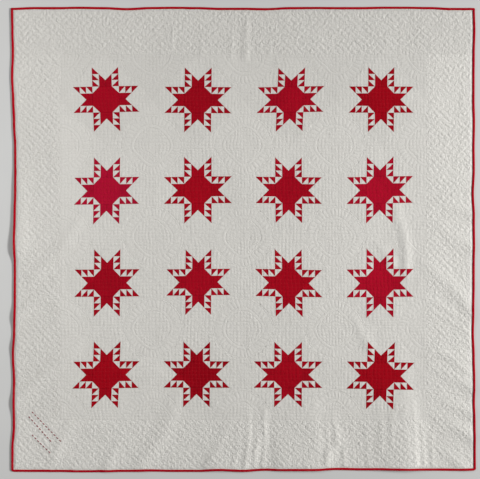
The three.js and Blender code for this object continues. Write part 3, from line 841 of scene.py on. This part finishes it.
def make_borders(white):
    cell = BORDER_PITCH * math.sqrt(2) / 8
    spare = TURN_UNDER + cell
    pieces = []
    for number, (side, outline) in enumerate(border_outlines().items()):
        low_u, low_v = outline[0]
        high_u, high_v = outline[2]
        columns = crossings(low_u, high_u, cell, spare)
        rows = crossings(low_v - FIELD_SHIFT, high_v - FIELD_SHIFT, cell, spare)
        cut = lattice(columns, [FIELD_SHIFT + v for v in rows])
        trim(cut, outline)
        cloth = Cloth()
        cloth.add(cut, 0, lambda places, o=outline: seam_distance(places, o))
        to_quilt = lambda places: (places[:, 0], places[:, 1])
        # Only painted light and shade: lighter at the bottom and right, darker at the top and left
        dye = patch_dye_and_painted_light(400 + number, BORDER_PAINTED_LIGHT_AND_SHADE[side], 0, 0)
        name = f"border_{side}"
        pieces.append(quilted_piece(name, cloth, to_quilt, diamond_grid, dye, white))
    return pieces


def border_height(u, v):
    places = np.column_stack([u, v])
    return quilted_height(u, v, diamond_grid(places, None), np.full(len(places), 20.0))


def make_backing(material):
    """The plain sheet underneath, flat but for the folds, and up inside the binding."""
    reach_u, reach_v = HALF_WIDTH - TUCK_INSET, HALF_LENGTH - TUCK_INSET
    rim = [RIM_INSET - TUCK_INSET, 2 * RIM_INSET]
    us = even_steps(-reach_u, reach_u, BACKING_CELL)
    vs = even_steps(-reach_v, reach_v, BACKING_CELL)
    us = sorted({*us, *[sign * (reach_u - d) for d in rim for sign in (1, -1)]})
    vs = sorted({*vs, *[sign * (reach_v - d) for d in rim for sign in (1, -1)]})
    grid_u, grid_v = (grid.ravel() for grid in np.meshgrid(us, vs, indexing="ij"))
    lift = fold_lift(grid_u, grid_v)
    for du in (-BACKING_REACH, 0, BACKING_REACH):
        for dv in (-BACKING_REACH, 0, BACKING_REACH):
            lift = np.minimum(lift, fold_lift(grid_u + du, grid_v + dv))
    inset = np.minimum(HALF_WIDTH - np.abs(grid_u), HALF_LENGTH - np.abs(grid_v))
    in_binding = 1 - smoothstep(inset, RIM_INSET, 2.5 * RIM_INSET)
    rim_height = BINDING_CLOTH + 0.2 + fold_lift(grid_u, grid_v)
    z = (BACKING_LIFT + lift) * (1 - in_binding) + rim_height * in_binding
    x, y = lie(grid_u, grid_v)
    rows = len(vs)
    starts = np.array([i * rows + j for i in range(len(us) - 1) for j in range(rows - 1)])
    cells = np.column_stack([starts, starts + 1, starts + rows + 1, starts + rows])
    backing = mesh_object("backing", np.column_stack([x, y, z]), cells, material)
    corners = cells.ravel()
    along, across, puff = diamond_grid(np.column_stack([grid_u, grid_v])[corners], None)
    corner_values(backing, "stitching", np.column_stack([along, across, puff > 0]))
    plain = np.ones(len(corners))
    corner_values(backing, "dye", np.column_stack([plain, 0 * plain, inset[corners]]))
    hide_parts("quilt_body")
    return backing


# Binding strips

def binding_section():
    """The strip's section: its outside from the face round to the underside, and its inside."""
    radius = BINDING_HEIGHT / 2
    angles = [math.pi / 2 + math.pi * i / 8 for i in range(9)]

    def arc(size, turns):
        return [(radius + size * math.cos(a), radius + size * math.sin(a)) for a in turns]

    outside = [(BINDING_WIDTH, 2.9), (BINDING_WIDTH - 0.5, 3.5), (BINDING_WIDTH - 2, 4.0)]
    outside += [(5, BINDING_HEIGHT), *arc(radius, angles), (6, 0), (BINDING_WIDTH, 0)]
    inside = [(BINDING_WIDTH, 0.9), (6, BINDING_CLOTH), *arc(radius - BINDING_CLOTH, reversed(angles))]
    inside += [(5, BINDING_HEIGHT - BINDING_CLOTH), (BINDING_WIDTH - 0.6, 2.4)]
    return outside, inside


# Unevenness of a strip: how its inner edge wanders and puckers, and the rows of the random
# hills that each side takes for the two
EDGE_WANDER = Hills(0.5, 38.0, 21)
PUCKERS = Hills(0.25, 11.0, 22)
STRIP_ROWS = {"top": (900, 500), "bottom": (-900, -500), "left": (-700, -300), "right": (700, 300)}

# Places of the rings at a folded end, in from the end. The end narrows over them by this share.
END_STEPS = (0, 0.6, 1.6)
END_SQUEEZE = 0.45


def strip_place(side, along, depth):
    """The flat places at a step along a strip, at depths in from the quilt's edge."""
    if side in ("top", "bottom"):
        edge = HALF_LENGTH - depth
        return along, edge if side == "top" else -edge
    edge = HALF_WIDTH - depth
    return edge if side == "right" else -edge, along


def strip_ring(side, along, from_end):
    """The section's corners at one step along a strip."""
    outside, inside = binding_section()
    inset, height = np.array(outside + inside).T
    wander, pucker = (
        hills.height * uneven(along, row, hills.size, hills.seed)
        for hills, row in zip((EDGE_WANDER, PUCKERS), STRIP_ROWS[side])
    )
    face_share = np.clip(inset / BINDING_WIDTH, 0, 1)
    middle = BINDING_HEIGHT / 2
    squeeze = 1 - END_SQUEEZE * (1 - min(1, from_end / END_STEPS[-1])) ** 2
    swell = np.where(height > middle, pucker * (1 - face_share) * 0.8, 0)
    rise = middle + (height - middle) * squeeze + swell
    depth = inset + (wander + pucker) * face_share
    u, v = strip_place(side, np.full(len(depth), along), depth)
    x, y = lie(u, v)
    return np.column_stack([x, y, np.maximum(rise, 0) + fold_lift(u, v)])


def strip_faces(last, full):
    """Faces round the rings of a strip. A full strip has no hollow at its ends, which are shut."""
    outside, inside = (len(part) for part in binding_section())
    count = outside + inside
    open_loop = list(range(count))
    shut_loop = [*range(outside + 1), count - 1]
    hollow = list(range(outside, count))
    shut_rings = len(END_STEPS) - 1 if full else 0
    faces = []
    for ring in range(last):
        shut = ring < shut_rings or ring >= last - shut_rings
        loop = shut_loop if shut else open_loop
        here, there = ring * count, (ring + 1) * count
        for a, b in zip(loop, [*loop[1:], loop[0]]):
            faces.append((here + a, there + a, there + b, here + b))
    if full:
        faces.append(shut_loop)
        faces.append([last * count + k for k in reversed(shut_loop)])
        faces.append([shut_rings * count + k for k in reversed(hollow)])
        faces.append([(last - shut_rings) * count + k for k in hollow])
    else:
        pairs = list(zip(range(outside), reversed(hollow)))
        for (a, p), (b, q) in zip(pairs, pairs[1:]):
            faces.append((a, b, q, p))
            faces.append([last * count + k for k in (p, q, b, a)])
    return faces


def make_binding(side, material):
    """A strip along one side. Top and bottom strips run the full width, with shut ends."""
    full = side in ("top", "bottom")
    half = HALF_WIDTH if full else HALF_LENGTH
    end_gap = 0 if full else BINDING_WIDTH + 0.1
    ends = END_STEPS if full else (0,)
    steps = even_steps(end_gap + 4 - half, half - end_gap - 4, BINDING_CELL)
    stations = [d + end_gap - half for d in ends] + steps
    stations += [half - end_gap - d for d in reversed(ends)]
    rings = [strip_ring(side, along, min(along + half, half - along)) for along in stations]
    cloth = loose_cloth(np.vstack(rings), strip_faces(len(stations) - 1, full))
    loose = [corner for corner in cloth.verts if not corner.link_faces]
    bmesh.ops.delete(cloth, geom=loose, context="VERTS")
    bmesh.ops.recalc_face_normals(cloth, faces=cloth.faces)
    cloth.verts.index_update()
    places = np.array([corner.co[:] for corner in cloth.verts])
    faces = [[corner.index for corner in face.verts] for face in cloth.faces]
    cloth.free()
    strip = mesh_object(f"binding_strip_{side}", places, faces, material)
    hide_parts(f"binding_{side}")
    return strip


# Plain running stitches in red floss, in three slanted rows in one corner of the border. A stitch
# rises over the cloth, lies a little flat, and is thinner at its ends.
FLOSS_ROWS = (
    ((-1003, -811), (-846, -966)),
    ((-1019, -834), (-896, -964)),
    ((-1001, -920), (-898, -1020)),
)
FLOSS_STITCH = 12.0
FLOSS_GAP = 7.0
FLOSS_RADIUS = 2.0
FLOSS_RISE = 0.9
FLOSS_FLATNESS = 0.45
FLOSS_END = 0.45


def floss_stitch(start, run, first):
    """One small stitch: a strand that comes up, lies over the cloth and goes down again."""
    rings, sides = 9, 6
    corners = []
    for k in range(rings):
        t = k / (rings - 1)
        arch = math.sin(math.pi * t) ** 0.5
        radius = FLOSS_RADIUS * (FLOSS_END + (1 - FLOSS_END) * arch)
        u = np.array([start[0] + run[0] * FLOSS_STITCH * t])
        v = np.array([start[1] + run[1] * FLOSS_STITCH * t])
        height = float(border_height(u, v)[0])
        x, y = (float(place[0]) for place in lie(u, v))
        for side in range(sides):
            angle = 2 * math.pi * side / sides
            out = radius * math.cos(angle)
            rise = height + FLOSS_RISE * arch + FLOSS_FLATNESS * radius * math.sin(angle)
            corners.append((x - run[1] * out, y + run[0] * out, rise))
    faces = [tuple(first + side for side in reversed(range(sides)))]
    for k in range(rings - 1):
        for side in range(sides):
            a = first + k * sides + side
            b = first + k * sides + (side + 1) % sides
            faces.append((a, b, b + sides, a + sides))
    faces.append(tuple(first + (rings - 1) * sides + side for side in range(sides)))
    return corners, faces


def make_floss_rows(material):
    step = FLOSS_STITCH + FLOSS_GAP
    corners, faces = [], []
    for start, end in FLOSS_ROWS:
        length = math.dist(start, end)
        run = ((end[0] - start[0]) / length, (end[1] - start[1]) / length)
        for number in range(int(length / step)):
            along = number * step
            place = (start[0] + run[0] * along, start[1] + run[1] * along)
            strand, sides = floss_stitch(place, run, len(corners))
            corners += strand
            faces += sides
    rows = mesh_object("floss_rows", corners, faces, material)
    return rows


# Materials. Reliefs are in metres.
THREAD_RELIEF = 0.00008
GROOVE_RELIEF = -0.0002
STITCH_RELIEF = 0.0003
STRIP_RELIEF = 0.0001


class Wiring:
    """Short calls for placing nodes in a tree and joining them up."""

    def __init__(self, tree):
        self.tree = tree

    def plug(self, socket, value):
        if isinstance(value, bpy.types.NodeSocket):
            self.tree.links.new(value, socket)
        else:
            socket.default_value = value

    def node(self, kind, values=None, **settings):
        node = self.tree.nodes.new(kind)
        for name, value in settings.items():
            setattr(node, name, value)
        for name, value in (values or {}).items():
            self.plug(node.inputs[name], value)
        return node

    def math(self, operation, *values):
        node = self.node("ShaderNodeMath", operation=operation)
        for socket, value in zip(node.inputs, values):
            self.plug(socket, value)
        return node.outputs[0]

    def fade(self, value, near, far):
        """1 where value is under near, falling smoothly to 0 at far."""
        values = {"Value": value, "From Min": near, "From Max": far, "To Min": 1.0, "To Max": 0.0}
        return self.node("ShaderNodeMapRange", values, interpolation_type="SMOOTHSTEP").outputs[0]

    def mix(self, factor, first, second, blend="MIX"):
        node = self.node("ShaderNodeMix", data_type="RGBA", blend_type=blend)
        self.plug(node.inputs["Factor"], factor)
        self.plug(node.inputs["A"], first)
        self.plug(node.inputs["B"], second)
        return node.outputs["Result"]

    def noise(self, place, scale, detail, distortion=0.0):
        values = {"Vector": place, "Scale": scale, "Detail": detail, "Distortion": distortion}
        return self.node("ShaderNodeTexNoise", values).outputs[0]

    def stretched(self, place, x, y):
        values = {0: place, 1: (x, y, 1.0)}
        return self.node("ShaderNodeVectorMath", values, operation="MULTIPLY").outputs[0]

    def effect(self, group, values):
        return self.node("ShaderNodeGroup", values, node_tree=group).outputs

    def bump(self, height):
        values = {"Strength": 1.0, "Distance": 1.0, "Height": height}
        return self.node("ShaderNodeBump", values).outputs[0]


def effect_group(name, inputs, outputs):
    """An empty node group with named sockets, and its entry and exit."""
    tree = bpy.data.node_groups.new(name, "ShaderNodeTree")
    for label, kind, value in inputs:
        socket = tree.interface.new_socket(name=label, in_out="INPUT", socket_type=kind)
        if value is not None:
            socket.default_value = value
    for label in outputs:
        tree.interface.new_socket(name=label, in_out="OUTPUT", socket_type="NodeSocketFloat")
    wiring = Wiring(tree)
    return wiring, wiring.node("NodeGroupInput").outputs, wiring.node("NodeGroupOutput").inputs


def plain_weave_group():
    """Threads over and under each other, each a little uneven."""
    wiring, entry, out = effect_group(
        "plain weave",
        [("Place", "NodeSocketVector", None), ("Thread", "NodeSocketFloat", 0.0006)],
        ["Height", "Slub"],
    )
    turns = wiring.math("DIVIDE", math.pi, entry["Thread"])
    scaling = {0: entry["Place"], 3: turns}
    scaled = wiring.node("ShaderNodeVectorMath", scaling, operation="SCALE").outputs[0]
    parts = wiring.node("ShaderNodeSeparateXYZ", {0: scaled}).outputs
    warp = wiring.math("SINE", parts[0])
    weft = wiring.math("SINE", parts[1])
    over = wiring.math("MULTIPLY", warp, weft)
    thick_weft = wiring.noise(wiring.stretched(entry["Place"], 60.0, 900.0), 1.0, 1.0)
    thick_warp = wiring.noise(wiring.stretched(entry["Place"], 900.0, 60.0), 1.0, 1.0)
    slub = wiring.math("SUBTRACT", wiring.math("ADD", thick_weft, thick_warp), 1.0)
    wiring.plug(out["Height"], wiring.math("ADD", wiring.math("MULTIPLY", over, 0.5), slub))
    wiring.plug(out["Slub"], slub)
    return wiring.tree


def running_stitch_group():
    """Grooves and thread dashes along the quilted lines, from the phases kept on the mesh."""
    wiring, entry, out = effect_group(
        "running stitches",
        [
            ("Stitching", "NodeSocketVector", None),
            ("Stitches", "NodeSocketFloat", 6.0),
            ("Groove", "NodeSocketFloat", 0.16),
            ("Thread", "NodeSocketFloat", 0.02),
        ],
        ["Groove", "Thread"],
    )
    phases = wiring.node("ShaderNodeSeparateXYZ", {0: entry["Stitching"]}).outputs
    grooves, threads = [], []
    for line, other in ((phases[0], phases[1]), (phases[1], phases[0])):
        away = wiring.math("PINGPONG", line, 0.5)
        grooves.append(wiring.fade(away, 0.0, entry["Groove"]))
        on_line = wiring.fade(away, entry["Thread"], wiring.math("MULTIPLY", entry["Thread"], 1.8))
        dash = wiring.math("PINGPONG", wiring.math("MULTIPLY", other, entry["Stitches"]), 0.5)
        on_dash = wiring.math("SUBTRACT", 1.0, wiring.fade(dash, 0.14, 0.22))
        threads.append(wiring.math("MULTIPLY", on_line, on_dash))
    for label, both in (("Groove", grooves), ("Thread", threads)):
        shown = wiring.math("MULTIPLY", wiring.math("MAXIMUM", *both), phases[2])
        wiring.plug(out[label], shown)
    return wiring.tree


def washed_shade_group():
    """Soft light and dark places of old washed cotton, as a factor near 1."""
    wiring, entry, out = effect_group(
        "washed shade",
        [("Place", "NodeSocketVector", None), ("Amount", "NodeSocketFloat", 0.05)],
        ["Shade", "Crinkle"],
    )
    total = None
    for scale, share in ((2.3, 1.0), (11.0, 0.7), (60.0, 0.6)):
        noise = wiring.noise(entry["Place"], scale, 2.0)
        part = wiring.math("MULTIPLY", wiring.math("SUBTRACT", noise, 0.5), share)
        total = part if total is None else wiring.math("ADD", total, part)
    wiring.plug(out["Shade"], wiring.math("MULTIPLY_ADD", total, entry["Amount"], 1.0))
    wiring.plug(out["Crinkle"], wiring.noise(entry["Place"], 140.0, 2.0, 0.6))
    return wiring.tree


def seam_shadow_group():
    """1 on a seam, fading out a few millimetres into the patch."""
    wiring, entry, out = effect_group(
        "seam shadow",
        [("Inside", "NodeSocketFloat", 0.0), ("Reach", "NodeSocketFloat", 3.0)],
        ["Shadow"],
    )
    wiring.plug(out["Shadow"], wiring.fade(entry["Inside"], 0.0, entry["Reach"]))
    return wiring.tree


# The node groups that the materials share
Effects = namedtuple("Effects", "weave stitches washed seams")


def new_material(name):
    material = bpy.data.materials.new(name)
    material.use_nodes = True
    material.node_tree.nodes.clear()
    wiring = Wiring(material.node_tree)
    shader = wiring.node("ShaderNodeBsdfPrincipled")
    out = wiring.node("ShaderNodeOutputMaterial")
    wiring.plug(out.inputs["Surface"], shader.outputs[0])
    return material, wiring, shader.inputs


def grey_factor(wiring, value):
    return wiring.node("ShaderNodeCombineColor", {0: value, 1: value, 2: value}).outputs[0]


# A quilted cotton: its dye, a second dye and its thread, how uneven the dye is, stitches between
# two lines, how dark its painted seam shadow is, its gloss, and the height of its crinkles in metres
Cotton = namedtuple("Cotton", "dye second_dye thread shade stitches seam_tone gloss crinkle")


def quilted_cotton(name, effects, cotton):
    """Cotton patch with its weave, dye, quilting grooves, thread and painted shade in grooves and seams.
    """
    material, wiring, shader = new_material(name)
    place = wiring.node("ShaderNodeTexCoord").outputs["Object"]
    stitching = wiring.node("ShaderNodeAttribute", attribute_name="stitching").outputs["Vector"]
    dye = wiring.node("ShaderNodeAttribute", attribute_name="dye").outputs["Vector"]
    depth, crimson, inside = wiring.node("ShaderNodeSeparateXYZ", {0: dye}).outputs

    weave = wiring.effect(effects.weave, {"Place": place})
    sewn = wiring.effect(effects.stitches, {"Stitching": stitching, "Stitches": cotton.stitches})
    washed_cloth = wiring.effect(effects.washed, {"Place": place, "Amount": cotton.shade})
    seams = wiring.effect(effects.seams, {"Inside": inside})

    dyed = wiring.mix(crimson, cotton.dye, cotton.second_dye)
    slub = wiring.math("MULTIPLY_ADD", weave["Slub"], 0.12, 1.0)
    # Painted shade: the colour is darkened in the quilting grooves.
    groove_painted_shade = wiring.math("MULTIPLY_ADD", sewn["Groove"], -0.1, 1.0)
    # Painted shadow: the colour is darkened along the seams.
    seam_painted_shadow = wiring.math("MULTIPLY_ADD", seams["Shadow"], -cotton.seam_tone, 1.0)
    # depth is each patch's dye and, for white cloth, painted light and shade
    tone = wiring.math("MULTIPLY", depth, washed_cloth["Shade"])
    for factor in (slub, groove_painted_shade, seam_painted_shadow):
        tone = wiring.math("MULTIPLY", tone, factor)
    toned = wiring.mix(1.0, dyed, grey_factor(wiring, tone), "MULTIPLY")
    wiring.plug(shader["Base Color"], wiring.mix(sewn["Thread"], toned, cotton.thread))

    rough = wiring.math("MULTIPLY_ADD", weave["Slub"], 0.1, 0.88)
    wiring.plug(shader["Roughness"], rough)
    shader["Specular IOR Level"].default_value = cotton.gloss

    threads = wiring.math("MULTIPLY", weave["Height"], THREAD_RELIEF)
    groove = wiring.math("MULTIPLY", sewn["Groove"], GROOVE_RELIEF)
    stitch = wiring.math("MULTIPLY_ADD", sewn["Thread"], STITCH_RELIEF, groove)
    crinkle = wiring.math("MULTIPLY", washed_cloth["Crinkle"], cotton.crinkle)
    height = wiring.math("ADD", wiring.math("ADD", threads, stitch), crinkle)
    wiring.plug(shader["Normal"], wiring.bump(height))
    return material


def strip_cotton(name, effects, plain, worn, rough_base):
    """Red cloth of the binding and floss, paler where it is rubbed."""
    material, wiring, shader = new_material(name)
    place = wiring.node("ShaderNodeTexCoord").outputs["Object"]
    weave = wiring.effect(effects.weave, {"Place": place})
    washed_cloth = wiring.effect(effects.washed, {"Place": place, "Amount": 0.35})
    rubbed = wiring.noise(place, 45.0, 3.0)
    unworn = wiring.fade(rubbed, 0.56, 0.7)
    wear = wiring.math("MULTIPLY", wiring.math("SUBTRACT", 1.0, unworn), 0.35)
    slub = wiring.math("MULTIPLY_ADD", weave["Slub"], 0.2, 1.0)
    tone = wiring.math("MULTIPLY", washed_cloth["Shade"], slub)
    toned = wiring.mix(1.0, plain, grey_factor(wiring, tone), "MULTIPLY")
    wiring.plug(shader["Base Color"], wiring.mix(wear, toned, worn))
    wiring.plug(shader["Roughness"], wiring.math("MULTIPLY_ADD", rubbed, 0.15, rough_base))
    shader["Specular IOR Level"].default_value = 0.04
    height = wiring.math("MULTIPLY", weave["Height"], STRIP_RELIEF)
    wiring.plug(shader["Normal"], wiring.bump(height))
    return material


def floor_material():
    material, wiring, shader = new_material("pale_floor")
    place = wiring.node("ShaderNodeTexCoord").outputs["Object"]
    pale = wiring.mix(wiring.noise(place, 3.0, 2.0), (0.5, 0.5, 0.49, 1), (0.53, 0.53, 0.52, 1))
    wiring.plug(shader["Base Color"], pale)
    shader["Roughness"].default_value = 0.9
    return material


# Floor, light and camera

def make_floor():
    bpy.ops.mesh.primitive_plane_add(size=12, location=(0, 0, -0.0005))
    floor = bpy.context.object
    floor.name = "floor"
    floor.data.materials.append(floor_material())


def hang(name, light, place, energy):
    """Hangs a light at a place, turned towards the middle of the quilt."""
    light.energy = energy
    lamp = bpy.data.objects.new(name, light)
    lamp.location = place
    lamp.rotation_euler = (-Vector(place)).to_track_quat("-Z", "Y").to_euler()
    bpy.context.scene.collection.objects.link(lamp)


def soft_light(name, place, energy, size):
    light = bpy.data.lights.new(name, "AREA")
    light.shape = "SQUARE"
    light.size = size
    hang(name, light, place, energy)


def far_light(name, towards, strength, spread):
    """A large light far off to one side, the same all over the quilt."""
    light = bpy.data.lights.new(name, "SUN")
    light.angle = math.radians(spread)
    hang(name, light, towards, strength)


def light_scene():
    far_light("right light", (3.6, 0.3, 1.55), 3.95, 8)
    soft_light("near right light", (3.1, 0.2, 1.8), 57, 1.2)
    soft_light("near left light", (-3.1, 0.5, 1.8), 48, 1.2)
    bpy.context.scene.view_settings.view_transform = "Standard"
    world = bpy.data.worlds.new("studio")
    world.use_nodes = True
    world.node_tree.nodes["Background"].inputs["Color"].default_value = (1, 1, 1, 1)
    world.node_tree.nodes["Background"].inputs["Strength"].default_value = 0.13
    bpy.context.scene.world = world


# The photo's frame at the quilt, seen from straight above
VIEW_WIDTH = 2.2637
VIEW_CENTRE = (-0.0158, 0.0007)
LENS = 85.0
SENSOR = 36.0


def make_camera():
    camera = bpy.data.cameras.new("camera")
    camera.lens = LENS
    camera.sensor_width = SENSOR
    camera.dof.use_dof = False
    viewer = bpy.data.objects.new("camera", camera)
    viewer.location = (*VIEW_CENTRE, VIEW_WIDTH * LENS / SENSOR + 0.003)
    bpy.context.scene.collection.objects.link(viewer)
    bpy.context.scene.camera = viewer


WHITE = (0.582, 0.568, 0.533, 1)
WHITE_AGED = (0.54, 0.52, 0.47, 1)
WHITE_THREAD = (0.66, 0.64, 0.6, 1)
SCARLET = (0.3, 0.002, 0.008, 1)
BINDING_RED = (0.33, 0.002, 0.01, 1)
CRIMSON = (0.3, 0.004, 0.022, 1)
RED_THREAD = (0.38, 0.012, 0.02, 1)
RED_WORN = (0.4, 0.03, 0.03, 1)
FLOSS_RED = (0.17, 0.003, 0.012, 1)

make_camera()
light_scene()
make_floor()

COTTONS = {
    "white_patch_cotton": Cotton(WHITE, WHITE_AGED, WHITE_THREAD, 0.06, 6.0, 0.02, 0.2, 0.001),
    "white_border_cotton": Cotton(WHITE, WHITE_AGED, WHITE_THREAD, 0.06, 8.0, 0.02, 0.2, 0.0037),
    "red_patch_cotton": Cotton(SCARLET, CRIMSON, RED_THREAD, 0.3, 6.0, 0.2, 0.02, 0.0012),
    "backing_muslin": Cotton(WHITE_AGED, WHITE_AGED, WHITE_THREAD, 0.12, 8.0, 0.03, 0.2, 0.0012),
}

effects = Effects(plain_weave_group(), running_stitch_group(), washed_shade_group(), seam_shadow_group())
white_patch, white_border, red_patch, backing_muslin = (
    quilted_cotton(name, effects, cotton) for name, cotton in COTTONS.items()
)
binding_red = strip_cotton("binding_red_cotton", effects, BINDING_RED, RED_WORN, 0.8)
floss_red = strip_cotton("red_floss", effects, FLOSS_RED, SCARLET, 0.6)

backing = make_backing(backing_muslin)
face = make_stars(white_patch, red_patch)
face += make_wreath_blocks(white_patch)
face += make_borders(white_border)
binding = [make_binding(side, binding_red) for side in ("top", "bottom", "left", "right")]
floss = make_floss_rows(floss_red)
